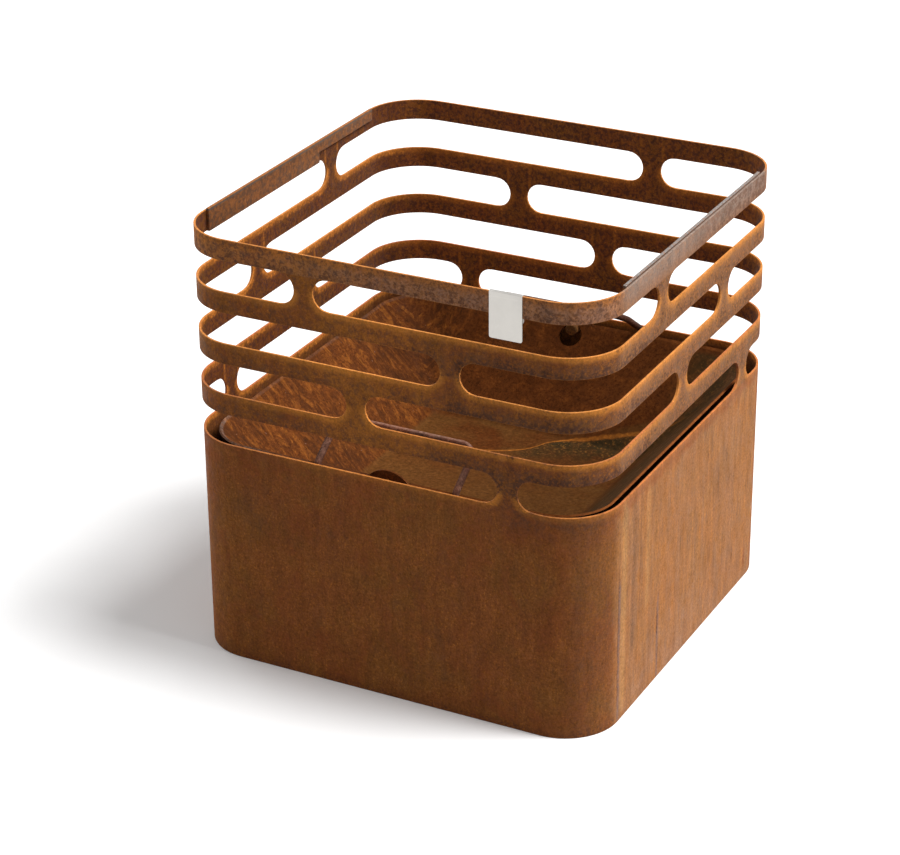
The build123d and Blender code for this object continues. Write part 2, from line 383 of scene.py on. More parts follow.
def make_patina_group():
    """Weathering steel: clouds, runs, grain and specks of rust, and the noises that they follow."""
    grey = (0.3, 0.3, 0.3, 1.0)
    tree, given, result = new_group(
        "Rust patina",
        {"Vector": None, "Run Vector": None, "Base": grey, "Cloud": grey, "Run": grey,
         "Speck": grey, "Bloom": grey, "Cloud Amount": 0.6, "Run Amount": 0.4,
         "Speck Amount": 0.2, "Bloom Amount": 0.1, "Grain Amount": 0.3},
        ("Color", "Roughness", "Height", "Clouds", "Blotches", "Specks"))
    where, runs_where = given["Vector"], given["Run Vector"]
    cloud = tree.noise(where, 15.0, 4.0, 0.6, 0.3)
    blotch = tree.noise(tree.moved(where, (3.1, 1.7, 0.4)), 75.0, 3.0, 0.6, 0.5)
    runs = tree.noise(runs_where, 190.0, 3.0, 0.6, 0.2)
    fine_runs = tree.noise(tree.scaled(runs_where, (1.0, 1.0, 4.0)), 520.0, 2.0, 0.6)
    grain = tree.noise(where, 950.0, 2.0, 0.7)
    flecks = tree.noise(tree.moved(where, (2.2, 0.4, 1.9)), 560.0, 2.0, 0.6)
    specks = tree.noise(tree.moved(where, (0.7, 2.3, 5.1)), 340.0, 3.0, 0.65)
    colour = given["Base"]
    bloom = tree.times(tree.fade(blotch, 0.4, 0.68), tree.fade(specks, 0.42, 0.6))
    dark = tree.times(tree.fade(specks, 0.5, 0.64), tree.fall(blotch, 0.3, 0.65, 0.35))
    for pattern, name in ((tree.fade(cloud, 0.4, 0.64), "Cloud"), (tree.fade(runs, 0.48, 0.7), "Run"),
                          (bloom, "Bloom"), (dark, "Speck")):
        colour = tree.blend(tree.times(pattern, given[f"{name} Amount"]), colour, given[name])
    young = tree.times(tree.fade(flecks, 0.56, 0.7), given["Grain Amount"], 0.6)
    colour = tree.blend(young, colour, given["Run"])
    tone = tree.minus(grain, 0.5)
    for noise, share in ((fine_runs, 1.0), (specks, 1.7), (blotch, 0.9)):
        tone = tree.sway(noise, share, tone)
    colour = tree.shaded(colour, tree.plus(tone, given["Grain Amount"], 1.0))
    roughness = tree.plus(dark, -0.12, tree.fade(blotch, 0.3, 0.7, 0.62, 0.8))
    height = tree.plus(grain, 0.35, tree.plus(specks, 0.9, tree.times(runs, 0.5)))
    for name, value in (("Color", colour), ("Roughness", roughness), ("Height", height),
                        ("Clouds", cloud), ("Blotches", blotch), ("Specks", specks)):
        tree.join(value, result[name])


def make_places_group():
    """Where a point of the shell lies: how far from the sheet's edges, and on which face."""
    values = settings()
    flat = SHELL_HIGH.x - values.corner_radius
    top = SHELL_HIGH.z
    tree, given, result = new_group(
        "Sheet places", {"Vector": None, "Normal": None},
        ("Edge", "Under Window", "Over Window", "Drip", "Cut Face", "Inside"))
    x, y, z = tree.split(given["Vector"])
    wide, deep = tree.size(x), tree.size(y)
    sign_x, sign_y = tree.math("SIGN", x), tree.math("SIGN", y)
    outward = tree.vector("NORMALIZE", tree.gather(
        tree.times(sign_x, tree.math("MAXIMUM", tree.minus(wide, flat), 0.0)),
        tree.times(sign_y, tree.math("MAXIMUM", tree.minus(deep, flat), 0.0)), 0.0))
    facing = tree.vector("DOT_PRODUCT", outward, given["Normal"])
    on_side = tree.math("GREATER_THAN", wide, deep)
    along_side, along_front = tree.times(sign_x, y), tree.times(sign_y, x, -1.0)
    along = tree.math("ADD", along_front, tree.times(on_side, tree.minus(along_side, along_front)))
    nearest = tree.math("MINIMUM", z, tree.minus(top, z))
    under = over = 1.0
    drips = 0.0
    radius = values.window / 2
    for row, place in enumerate(values.strut_places):
        middle = top - values.top_band - row * (values.window + values.band) - radius
        aside = tree.size(tree.minus(along, place))
        past = tree.math("MAXIMUM", tree.minus(values.strut / 2 + radius, aside), 0.0)
        above = tree.minus(z, middle)
        gap = tree.minus(tree.vector("LENGTH", tree.gather(past, above, 0.0)), radius)
        nearest = tree.math("MINIMUM", nearest, gap)
        under = tree.math("MINIMUM", under, tree.math(
            "ADD", gap, tree.fade(above, -2 * MM, 10 * MM, 0.0, 9 * MM)))
        over = tree.math("MINIMUM", over, tree.math(
            "ADD", gap, tree.fade(above, -10 * MM, 2 * MM, 9 * MM, 0.0)))
        side = tree.size(tree.minus(aside, values.strut / 2 + 2.5 * MM))
        drips = tree.math("MAXIMUM", drips, tree.times(
            tree.fall(side, 0.4 * MM, 2.6 * MM), tree.fade(above, 2 * MM, 12 * MM),
            tree.fall(above, 26 * MM, 35 * MM)))
    for name, value in (("Edge", nearest), ("Under Window", under), ("Over Window", over),
                        ("Drip", drips), ("Cut Face", tree.fall(tree.size(facing), 0.75, 0.95)),
                        ("Inside", tree.math("LESS_THAN", facing, -0.5))):
        tree.join(value, result[name])


class SheetCoat(Coat):
    """Brown and olive rust, with orange round the windows and grey bloom on the top band."""

    def __init__(self):
        super().__init__("Sheet patina")
        values = self.values = settings()
        rows = len(values.strut_places)
        self.half, self.top = SHELL_HIGH.x, SHELL_HIGH.z
        band_foot = self.top - values.top_band
        self.body_top = band_foot - rows * values.window - (rows - 1) * values.band
        self.x, self.y, self.z = self.split(self.place)
        self.where = self.group("Sheet places", Vector=self.place, Normal=self.normal)
        self.rust(
            self.scaled(self.place, (1.0, 1.0, 0.09)), Base=values.rust_brown,
            Cloud=values.rust_olive, Run=values.rust_orange, Speck=values.rust_dark,
            Bloom=values.rust_pale, Cloud_Amount=0.5, Run_Amount=0.08, Speck_Amount=0.2,
            Bloom_Amount=0.05, Grain_Amount=0.75)
        self.inside = self.where["Inside"]
        self.outside = self.less(self.inside)
        border = self.sway(self.blotches, 12 * MM, self.size(self.y))
        self.right = self.times(
            self.outside, self.fade(self.x, self.half - 20 * MM, self.half - 8 * MM),
            self.fall(border, 160 * MM, 174 * MM))
        self.elsewhere = self.less(self.right)
        self.body = self.fall(self.z, self.body_top - 1 * MM, self.body_top)
        self.right_body = self.times(self.right, self.body)
        self.bands = self.less(self.body)
        self.top_band = self.fade(self.z, band_foot - 1 * MM, band_foot + 1 * MM)
        self.top_outside = self.times(self.top_band, self.outside)
        lower_bands = self.times(self.bands, self.less(self.top_band))
        self.bands_outside = self.times(self.outside, lower_bands)
        self.right_bands = self.times(self.right, lower_bands)
        self.fine = self.fade(self.specks, 0.36, 0.62, 0.45, 1.0)
        self.coarse = self.mottle()
        # How far a point is above a window, with a ragged border.
        self.low_gap = self.sway(self.blotches, -30 * MM, self.sway(
            self.coarse, -16 * MM, self.where["Over Window"]))
        # Grey dust by the right strip.
        self.dust = self.times(
            self.top_band, self.right, self.fade(self.y, -200 * MM, -140 * MM),
            self.fade(self.plus(self.blotches, 16 * MM, self.z),
                      self.top - 16 * MM, self.top + 4 * MM, 0.3, 1.0))

    def paint_clouds(self):
        """Reddish clouds, dark ones on the body, and red smudges under the body's top edge."""
        values, fine = self.values, self.fine
        red = self.noise(self.moved(self.scaled(self.place, (1.0, 1.0, 0.6)), (1.3, 0.2, 4.0)),
                         26.0, 6.0, 0.68, 0.6)
        self.paint(values.rust_red, self.fade(red, 0.44, 0.66), fine, 0.6)
        shadow = self.noise(self.moved(self.scaled(self.place, (1.0, 1.0, 0.5)), (0.3, 3.2, 1.0)),
                            34.0, 6.0, 0.7, 0.5)
        self.paint(values.rust_scale, self.body, self.fade(shadow, 0.5, 0.7), fine, 0.4)
        self.paint(values.rust_red, self.body, self.outside,
                   self.fade(self.z, self.body_top - 45 * MM, self.body_top - 12 * MM),
                   self.fade(self.blotches, 0.42, 0.62), fine, 0.5)
        foot = self.fall(self.plus(self.blotches, -20 * MM, self.z), -9 * MM, 2 * MM)
        self.paint(values.rust_dark, foot, self.fade(self.specks, 0.42, 0.6), 0.6)

    def paint_corner_shade_and_smudge(self):
        """The front right corner is darker, most of all under the body's top edge: painted shade down the
        front of the corner's bend, and a dark smudge of rust under the top edge.
        """
        # Painted shade on the front of the corner's bend, where the key light should turn in later than it
        # does.
        self.paint(self.values.rust_scale, self.outside, self.fall(self.y, -150 * MM, -140 * MM),
                   self.fade(self.x, self.half - 40 * MM, self.half - 18 * MM), self.elsewhere,
                   self.fine, 0.42)
        self.paint(self.values.rust_scale, self.outside, self.body,
                   self.fade(self.z, self.body_top - 34 * MM, self.body_top - 8 * MM),
                   self.fall(self.y, -190 * MM, -170 * MM), self.fade(self.x, 60 * MM, 150 * MM),
                   self.fade(self.blotches, 0.36, 0.6), self.fine, 0.75)

    def paint_right_wall(self):
        """A light veil, partly rust and partly painted sheen of the key light, with soft streaks, pale below
        and red under the body's top edge.
        """
        values, wall, fine = self.values, self.right_body, self.fine
        # Painted sheen: the veil lightens and greys the right wall and its bands, which face the key light.
        self.paint(values.veil_and_sheen, wall, 0.62)
        self.paint(values.veil_and_sheen, self.right_bands, 0.5)
        streaks = self.noise(self.scaled(self.place, (1.0, 1.0, 0.05)), 75.0, 4.0, 0.65, 0.3)
        self.paint(values.rust_orange, wall, self.fade(streaks, 0.46, 0.7), fine, 0.3)
        self.paint(values.rust_pale, wall, self.fall(streaks, 0.3, 0.52), fine, 0.2)
        thin = self.noise(self.scaled(self.place, (1.0, 1.0, 0.12)), 230.0, 4.0, 0.7, 0.4)
        self.paint(values.rust_scale, wall, self.fade(thin, 0.5, 0.66),
                   self.fade(self.clouds, 0.35, 0.6), 0.35)
        self.paint(values.rust_orange, wall, self.fall(thin, 0.34, 0.48), fine, 0.3)
        low_veil = self.fall(self.plus(self.blotches, 60 * MM, self.z), 30 * MM, 110 * MM)
        self.paint(values.rust_pale, wall, low_veil, self.fade(self.clouds, 0.4, 0.65), 0.3)
        brow = self.fade(self.plus(self.blotches, 16 * MM, self.z),
                         self.body_top - 9 * MM, self.body_top + 2 * MM)
        self.paint(values.rust_red, wall, brow, fine, 0.6)

    def paint_inside(self):
        """The inside is mottled and dark, and the inner faces of the two side walls carry painted shade."""
        self.paint(self.values.rust_dark, self.fade(self.coarse, 0.48, 0.6),
                   self.plus(self.inside, 0.35, self.plus(self.bands, 0.15, 0.22)))
        self.paint(self.values.rust_orange, self.fall(self.coarse, 0.34, 0.46),
                   self.plus(self.bands, 0.2, 0.2))
        # Painted shade: the inner faces of the side walls are made half as bright.
        side_wall_shade = self.times(self.inside, self.fade(
            self.size(self.x), self.half - 30 * MM, self.half - 6 * MM))
        self.shade(self.plus(side_wall_shade, -0.5, 1.0))

    def paint_bands(self):
        """Grey brown scale, a warmer brown left of the middle, and spots towards the right."""
        values, x, fine = self.values, self.x, self.fine
        depth = self.fade(self.sway(self.blotches, -14 * MM, self.where["Under Window"]),
                          2 * MM, 17 * MM, 0.1, 1.0)
        scale = self.plus(self.right, 0.12, self.plus(self.fade(x, 20 * MM, 150 * MM), 0.4, 0.12))
        self.paint(values.rust_scale, self.bands_outside, scale, depth, fine)
        self.paint(values.rust_gold, self.bands_outside, self.elsewhere,
                   self.fade(x, -110 * MM, -30 * MM), self.fall(x, 20 * MM, 80 * MM),
                   self.fall(self.coarse, 0.38, 0.6, 0.4), 0.3)
        spots = self.times(self.bands_outside, self.fade(x, 20 * MM, 110 * MM, 0.35, 1.0))
        self.paint(values.rust_dark, spots, self.fade(self.specks, 0.5, 0.6),
                   self.fade(self.blotches, 0.35, 0.6), 0.55)
        self.paint(values.rust_orange, spots, self.fall(self.specks, 0.34, 0.46), 0.3)
        cloudy = self.times(self.outside, self.bands, self.elsewhere, self.fall(x, 0.0, 120 * MM, 0.3))
        self.paint(values.rust_scale, cloudy, self.fade(self.coarse, 0.5, 0.62), fine, 0.5)
        self.paint(values.rust_orange, cloudy, self.fall(self.coarse, 0.36, 0.46), 0.3)

    def paint_under_windows(self):
        """Golden rust on the sheet under each window, and rust run down beside the struts."""
        values, under = self.values, self.where["Under Window"]
        rough = self.sway(self.blotches, 5 * MM, self.sway(self.coarse, 6 * MM, 0.0))
        glow = self.fall(self.minus(under, rough), 0.0, 8 * MM)
        amount = self.plus(self.fade(self.x, -180 * MM, -60 * MM), 0.75, 0.25)
        amount = self.plus(self.times(self.body, self.outside), -0.6, amount)
        amount = self.plus(self.right, -0.2, amount)
        self.paint(values.rust_gold, glow, self.outside, amount, self.fall(self.coarse, 0.35, 0.6, 0.6))
        inner_glow = self.fall(self.sway(self.coarse, -14 * MM, under), 1.5 * MM, 7.5 * MM)
        self.paint(values.rust_orange, inner_glow, self.inside,
                   self.fade(self.specks, 0.36, 0.6, 0.9, 0.45))
        murk = self.plus(self.specks, 0.6, self.times(self.coarse, 0.4))
        self.paint(values.rust_dark, self.inside, self.bands, self.less(inner_glow),
                   self.fade(murk, 0.46, 0.57), 0.6)
        self.paint(values.rust_orange, self.inside, self.where["Drip"],
                   self.fall(self.coarse, 0.4, 0.6, 0.35), 0.5)

    def paint_band_feet(self):
        """Purple black patches along the bands' lower edges, near the front right corner."""
        near_corner = self.times(self.fade(self.x, 0.0, 90 * MM), self.fall(self.y, -120 * MM, -60 * MM))
        self.paint(self.values.rust_dark, self.bands_outside, self.fall(self.low_gap, 1 * MM, 8 * MM),
                   self.plus(near_corner, 0.55, 0.3), self.fade(self.specks, 0.4, 0.56, 0.25, 1.0))
        self.paint(self.values.rust_scale, self.bands_outside, near_corner,
                   self.fall(self.low_gap, 2 * MM, 14 * MM), self.fine, 0.45)

    def paint_top_band(self):
        """Pinkish grey bloom with dark pits, and grey dust by the right strip."""
        values, band, coarse, specks = self.values, self.top_outside, self.coarse, self.specks
        high = self.fade(self.plus(self.blotches, 8 * MM, self.z), self.top - 5 * MM, self.top + 2 * MM)
        worn = self.fall(specks, 0.4, 0.58, 0.5)
        self.paint(values.rust_gold, band, self.elsewhere, self.fade(self.blotches, 0.35, 0.6), 0.4)
        self.paint(values.rust_pale, band, self.plus(self.fade(self.x, -130 * MM, 60 * MM), 0.45, 0.22),
                   self.elsewhere, worn, self.plus(high, -0.5, 1.0))
        self.paint(values.rust_orange, band, high, worn, 0.4)
        pits = self.plus(specks, 0.6, self.times(coarse, 0.4))
        self.paint(values.rust_dark, band, self.fade(pits, 0.5, 0.57), 0.42)
        self.paint(values.rust_scale, band, self.elsewhere, self.fade(coarse, 0.48, 0.6), 0.5)
        self.paint(values.rust_orange, band, self.fall(specks, 0.34, 0.46), 0.4)
        self.paint(values.rust_dark, band, self.fall(self.low_gap, 2 * MM, 10 * MM),
                   self.fade(coarse, 0.4, 0.58), 0.4)
        # Painted sheen: the veil also lies on the right part of the top band.
        self.paint(values.veil_and_sheen, self.top_band, self.right, 0.3)
        self.paint(values.rust_grey, self.dust, self.fall(coarse, 0.4, 0.62, 0.6), 0.8)
        self.paint(values.rust_dark, self.top_band, self.right, self.fade(self.y, -60 * MM, 90 * MM),
                   self.fade(coarse, 0.4, 0.58), 0.55)

    def paint_water_marks(self):
        """Marks of running water on the right wall of the body."""
        values = self.values
        blue_grey, tan = (0.2, 0.13, 0.115), (0.64, 0.34, 0.13)
        bend = self.noise(self.scaled(self.place, (0.0, 0.0, 1.0)), 45.0, 2.0)
        wander = self.sway(bend, 5 * MM, self.y)
        # Place along the wall, width, lower end and upper end in millimetres, thickness, pigment.
        for line, width, low, high, share, pigment in (
                (-159, 2.4, 2, 145, 0.9, blue_grey), (-161, 1.2, 20, 160, 0.6, values.rust_dark),
                (-70, 2.2, 0, 90, 0.8, blue_grey), (-71.5, 1.5, 45, 75, 0.8, values.rust_dark),
                (-150, 6.0, 8, 222, 0.5, tan), (-128, 5.0, 60, 215, 0.5, values.rust_scale),
                (-114, 1.6, 90, 222, 0.5, values.rust_scale), (-97, 5.0, 90, 215, 0.35, tan),
                (-60, 5.0, 60, 222, 0.25, values.rust_orange), (44, 1.6, 178, 188, 0.7, values.rust_dark),
                (115, 1.6, 34, 50, 0.8, values.rust_dark), (149, 1.8, 12, 32, 0.9, values.rust_red)):
            off = self.size(self.minus(wander, line * MM))
            ends = self.times(self.fade(self.z, (low - 6) * MM, (low + 6) * MM),
                              self.fall(self.z, (high - 8) * MM, (high + 8) * MM))
            self.paint(pigment, self.right_body, self.fall(off, width * MM * 0.3, width * MM * 1.5),
                       ends, share, self.fall(self.specks, 0.35, 0.6, 0.5))

    def paint_cut_edges(self):
        """Young rust on the cut edges: bright, grey by the strip, and muted low on the front."""
        values = self.values
        edge = self.math("MAXIMUM", self.fade(self.where["Edge"], 0.2 * MM, 1.2 * MM, 0.25, 0.0),
                         self.fade(self.where["Under Window"], 0.2 * MM, 1.8 * MM, 0.6, 0.0))
        cut = self.math("MAXIMUM", self.times(self.where["Cut Face"], 0.85), edge)
        last_band = self.body_top + values.window + values.band
        lowest = self.fall(self.z, last_band, last_band + 1 * MM)
        young = self.blend(lowest, (0.66, 0.25, 0.06), (0.5, 0.15, 0.055))
        young = self.blend(self.dust, young, values.rust_grey)
        muted = self.times(lowest, self.fall(self.y, -205 * MM, -160 * MM))
        young = self.blend(muted, young, (0.3, 0.1, 0.045))
        self.paint(young, cut, self.plus(muted, -0.35, 1.0), self.fall(self.specks, 0.3, 0.6, 0.6))

    def vary_tone(self):
        """Light and dark grains over all the coats."""
        tone = 1.0
        stretched = self.scaled(self.place, (1.0, 1.0, 0.25))
        for noise, share in ((self.coarse, 1.3), (self.noise(self.place, 450.0, 3.0, 0.7), 1.2),
                             (self.noise(stretched, 110.0, 4.0, 0.7, 0.2), 0.9)):
            tone = self.sway(noise, share, tone)
        self.shade(tone)


def make_sheet_finish():
    """Lays the sheet ring's coats, from the clouds of old rust to the young rust on cut edges."""
    coat = SheetCoat()
    coat.paint_clouds()
    coat.paint_corner_shade_and_smudge()
    coat.paint_right_wall()
    coat.paint_inside()
    coat.paint_bands()
    coat.paint_under_windows()
    coat.paint_band_feet()
    coat.paint_top_band()
    coat.paint_water_marks()
    coat.paint_cut_edges()
    coat.vary_tone()
    coat.finish(0.12, 0.45, 0.2 * MM)


class BowlCoat(Coat):
    """Dark rust with streaks down the walls, an olive floor and the line of a dried puddle."""

    def __init__(self):
        super().__init__("Bowl patina")
        values = self.values = settings()
        self.soot = (0.045, 0.015, 0.005)
        self.x, self.y, self.z = self.split(self.place)
        on_side = self.math("GREATER_THAN", self.size(self.x), self.size(self.y))
        along = self.math("ADD", self.times(on_side, self.y), self.times(self.less(on_side), self.x))
        self.run_vector = self.gather(along, self.times(on_side, 3.0), self.times(self.z, 0.28))
        self.rust(
            self.run_vector, Base=values.bowl_brown, Cloud=values.rust_brown, Run=self.soot,
            Speck=self.soot, Bloom=values.rust_orange, Cloud_Amount=0.12, Run_Amount=0.18,
            Speck_Amount=0.45, Bloom_Amount=0.08, Grain_Amount=0.9)
        self.upright = self.split(self.normal)[2]
        self.facing_up = self.fade(self.upright, 0.1, 0.4)
        self.floor_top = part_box("fire_bowl")[0].z + values.bowl_sheet
        self.rim = self.floor_top + values.bowl_depth

    def paint_walls(self):
        """Sooty streaks and flakes on the left wall, and painted shade on the faces that don't look up, such
        as the outside and the ears.
        """
        values = self.values
        left = self.times(self.facing_up, self.fall(self.x, -130 * MM, -100 * MM))
        heavy = self.noise(self.scaled(self.run_vector, (1.3, 1.3, 2.6)), 95.0, 4.0, 0.7, 0.8)
        self.paint(self.soot, left, self.fade(self.clouds, 0.38, 0.54),
                   self.fade(self.specks, 0.36, 0.6, 0.4, 1.0), self.fade(heavy, 0.48, 0.6), 0.8)
        self.paint(values.rust_orange, left, self.fall(heavy, 0.36, 0.48),
                   self.fall(self.specks, 0.4, 0.56, 0.3), 0.3)
        self.paint(self.soot, left, self.fade(self.clouds, 0.44, 0.62), 0.35)
        flakes = self.noise(self.moved(self.place, (5.0, 1.0, 2.0)), 420.0, 1.0, 0.5)
        self.paint(values.rust_pale, left, self.fade(flakes, 0.76, 0.8), 0.35)
        # Painted shade: faces that don't look up are darkened.
        self.paint(values.rust_dark, self.fall(self.upright, -0.2, 0.1), 0.5)

    def paint_floor(self):
        """The olive floor and foot of the walls, which rises towards the right."""
        values = self.values
        water = self.plus(self.fade(self.x, 10 * MM, 165 * MM), -32 * MM, self.z)
        water = self.sway(self.blotches, 3 * MM, water)
        floor = self.times(self.facing_up, self.fall(
            water, self.floor_top + 0.5 * MM, self.floor_top + 4.5 * MM))
        olive = self.blend(self.fade(self.clouds, 0.35, 0.65), values.bowl_olive, values.bowl_brown)
        front = self.fall(self.y, -20 * MM, 40 * MM)
        olive = self.blend(self.times(front, 0.75), olive, values.bowl_olive)
        self.paint(self.shaded(olive, self.sway(self.specks, 1.2, 0.88)), floor)

    def paint_puddle(self):
        """The green bed and the orange shore of a dried puddle, and slime by the right rim."""
        values, x = self.values, self.x
        # The shore: places along x, and how far back it lies there, in parts of farthest.
        farthest = 200 * MM
        line = self.curve(x, -60 * MM, 140 * MM, [
            (-60 * MM, 0.25), (-34 * MM, 0.28), (-24 * MM, 0.295), (4 * MM, 0.385), (24 * MM, 0.53),
            (56 * MM, 0.59), (89 * MM, 0.625), (102 * MM, 0.64), (140 * MM, 0.67)])
        behind = self.sway(self.blotches, 4 * MM, self.minus(self.y, self.times(line, farthest)))
        reach = self.times(self.facing_up, self.fade(x, -50 * MM, -20 * MM),
                           self.fall(x, 120 * MM, 160 * MM))
        puddle = self.times(reach, self.fall(behind, -3 * MM, 0.0),
                            self.fade(behind, -62 * MM, -10 * MM), self.fade(x, -15 * MM, 30 * MM))
        self.paint(values.bowl_green, puddle, 0.45)
        self.paint(values.bowl_green, puddle, self.fade(self.blotches, 0.4, 0.58), 0.7)
        self.paint(values.rust_olive, puddle, self.fade(self.specks, 0.55, 0.64), 0.65)
        slime = self.times(self.facing_up, self.fade(x, 115 * MM, 150 * MM),
                           self.fade(self.z, self.rim - 1 * MM, self.rim - 7 * MM))
        self.paint(values.bowl_olive, slime, 0.6)
        self.paint(values.bowl_green, slime, self.fade(self.blotches, 0.36, 0.56, 0.4, 1.0), 0.75)
        self.paint(values.rust_olive, slime, self.fade(self.specks, 0.55, 0.66), 0.35)
        shore = self.fall(self.size(behind), 0.6 * MM, 2.4 * MM)
        self.paint(values.rust_orange, reach, shore, self.fade(self.specks, 0.35, 0.6, 0.65, 0.3))

    def paint_rim_wear_and_highlight(self):
        """The rim's edge is lighter, pale on the left and brown on the right: partly rubbed wear and partly
        a painted highlight, strongest on the right, which faces the key light.
        """
        values, x = self.values, self.x
        edge = self.times(self.fade(self.z, self.rim - 1.2 * MM, self.rim - 0.2 * MM),
                          self.fall(self.z, self.rim + 2 * MM, self.rim + 3 * MM))
        worn = self.blend(self.fade(x, -120 * MM, 60 * MM), values.rust_grey, values.rust_brown)
        left = self.times(self.fall(x, -150 * MM, -100 * MM),
                          self.fade(self.y, -150 * MM, -100 * MM, 0.3, 0.0))
        amount = self.math("MAXIMUM", self.fade(x, 0.0, 150 * MM, 0.1, 0.6), left)
        # Painted highlight along the rim's edge, partly also rubbed wear.
        self.paint(worn, edge, amount, self.fall(self.specks, 0.35, 0.6, 0.4))


def make_bowl_finish():
    """Lays the bowl's coats, from its walls to its rim."""
    coat = BowlCoat()
    coat.paint_walls()
    coat.paint_floor()
    coat.paint_puddle()
    coat.paint_rim_wear_and_highlight()
    coat.shade(coat.sway(coat.mottle(), 1.3, 1.0))
    coat.finish(0.04, 0.55, 0.25 * MM)


def make_strip_finish():
    """The shared rust in grey brown, rubbed off along the right strip's crest."""
    values = settings()
    coat = Coat("Strip patina")
    x, _, z = coat.split(coat.place)
    coat.rust(
        coat.scaled(coat.place, (1.0, 1.0, 0.1)), Base=values.rust_brown, Cloud=values.rust_red,
        Run=values.rust_orange, Speck=values.rust_dark, Bloom=values.rust_pale, Cloud_Amount=0.3,
        Run_Amount=0.15, Speck_Amount=0.4, Bloom_Amount=0.12, Grain_Amount=1.0)
    coarse = coat.mottle()
    coat.paint(values.rust_gold, 0.2)
    coat.paint(values.rust_scale, coat.fade(coarse, 0.44, 0.58, 0.05, 0.75))
    coat.paint(values.rust_orange, coat.fall(coarse, 0.3, 0.42), 0.35)
    coat.paint(values.rust_grey, 0.08)
    coat.shade(coat.fade(x, -100 * MM, 100 * MM, 0.58, 0.8))
    depth = coat.minus(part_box("right_strip")[1].z, z)
    # A dark line under the crest: partly the dark joint against the shell, partly painted shade in the gap.
    seam_shade = coat.times(coat.fade(depth, 0.4 * MM, 0.9 * MM), coat.fall(depth, 2.2 * MM, 3.2 * MM))
    coat.paint((0.1, 0.082, 0.07), seam_shade, 0.75)
    crest = coat.fall(depth, 0.3 * MM, 0.8 * MM)
    right = coat.math("GREATER_THAN", x, 0.0)
    steel = coat.times(crest, right, coat.fall(coat.specks, 0.42, 0.68, 0.3))
    coat.paint(values.bare_steel, steel)
    coat.paint(values.rust_orange, crest, coat.less(right), 0.3)
    coat.join(coat.times(steel, 0.35), coat.shader["Metallic"])
    coat.roughness = coat.plus(steel, -0.2, coat.roughness)
    coat.finish(0.2, 0.45, 0.2 * MM)


def make_rod_finish(name, base, bloom, amount, depth):
    """The shared rust on round steel, with the bloom colour also painted on its upper side as a highlight.
    """
    values = settings()
    coat = Coat(name)
    coat.rust(
        coat.place, Base=base, Cloud=values.rust_red, Run=values.rust_dark, Speck=values.rust_dark,
        Bloom=bloom, Cloud_Amount=0.4, Run_Amount=0.4, Speck_Amount=0.55, Bloom_Amount=amount,
        Grain_Amount=1.0)
    # Painted highlight: the bloom colour on the faces that look up, on the rods and on the pins.
    top_highlight = coat.fade(coat.split(coat.normal)[2], 0.75, 0.98)
    coat.paint(bloom, top_highlight, coat.fade(coat.specks, 0.4, 0.6, 0.5, 0.1))
    coat.finish(0.1, 0.6, depth)


def make_clip_finish():
    """Matt steel with a fine brushed grain and a faint painted highlight along the fold."""
    coat = Coat("Clip steel")
    z = coat.split(coat.place)[2]
    grain = coat.noise(coat.scaled(coat.place, (0.04, 1.0, 1.0)), 2400.0, 2.0, 0.6)
    tone = coat.sway(coat.noise(coat.place, 90.0, 3.0, 0.6), 0.12, coat.sway(grain, 0.1, 1.0))
    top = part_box("label_clip")[1].z
    # Painted highlight: a faint lighter line along the fold.
    fold = coat.times(coat.fade(z, top - 5.4 * MM, top - 4.9 * MM),
                      coat.fall(z, top - 4.7 * MM, top - 4.2 * MM))
    coat.colour = coat.shaded(settings().clip_steel, coat.plus(fold, 0.05, tone))
    coat.shader["Metallic"].default_value = 1.0
    coat.roughness, coat.height = coat.fade(grain, 0.3, 0.7, 0.34, 0.44), grain
    coat.finish(0.5, 0.12, 0.03 * MM)


def new_piece(name, bm, body, node, material):
    """Makes an object from a bmesh, in the place of a node of the frame."""
    bmesh.ops.recalc_face_normals(bm, faces=bm.faces)
    for face in bm.faces:
        face.smooth = True
    mesh = bpy.data.meshes.new(name)
    bm.to_mesh(mesh)
    bm.free()
    piece = bpy.data.objects.new(name, mesh)
    bpy.context.scene.collection.objects.link(piece)
    mesh.materials.append(bpy.data.materials[material])
    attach(piece, body)
    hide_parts(node)
    return piece


def soften_edges(piece, width, angle=40.0):
    """Rounds the edges of a piece that are sharper than an angle."""
    bevel = piece.modifiers.new("Rounded edges", "BEVEL")
    bevel.width = width
    bevel.segments = 2
    bevel.limit_method = "ANGLE"
    bevel.angle_limit = math.radians(angle)
    bevel.harden_normals = True


def new_ring(bm, plan, height):
    """Adds the vertices of a plan at a height."""
    return [bm.verts.new((x, y, height)) for x, y in plan]


def join_rings(bm, lower, upper):
    """Fills the wall between two rings with faces."""
    for index in range(len(lower)):
        following = (index + 1) % len(lower)
        bm.faces.new([lower[index], lower[following], upper[following], upper[index]])


def thicken(bm, inner_place):
    """Turns a sheet's outer surface into a plate, by adding its inner surface and its rims."""
    faces = list(bm.faces)
    rims = [edge for edge in bm.edges if len(edge.link_faces) == 1]
    inner = {vertex: bm.verts.new(inner_place(vertex.co)) for vertex in list(bm.verts)}
    for face in faces:
        bm.faces.new([inner[vertex] for vertex in reversed(face.verts)])
    for edge in rims:
        a, b = edge.verts
        bm.faces.new([a, b, inner[b], inner[a]])


def turned(x, y, angle):
    """A plan point turned about the middle."""
    return x * math.cos(angle) - y * math.sin(angle), x * math.sin(angle) + y * math.cos(angle)


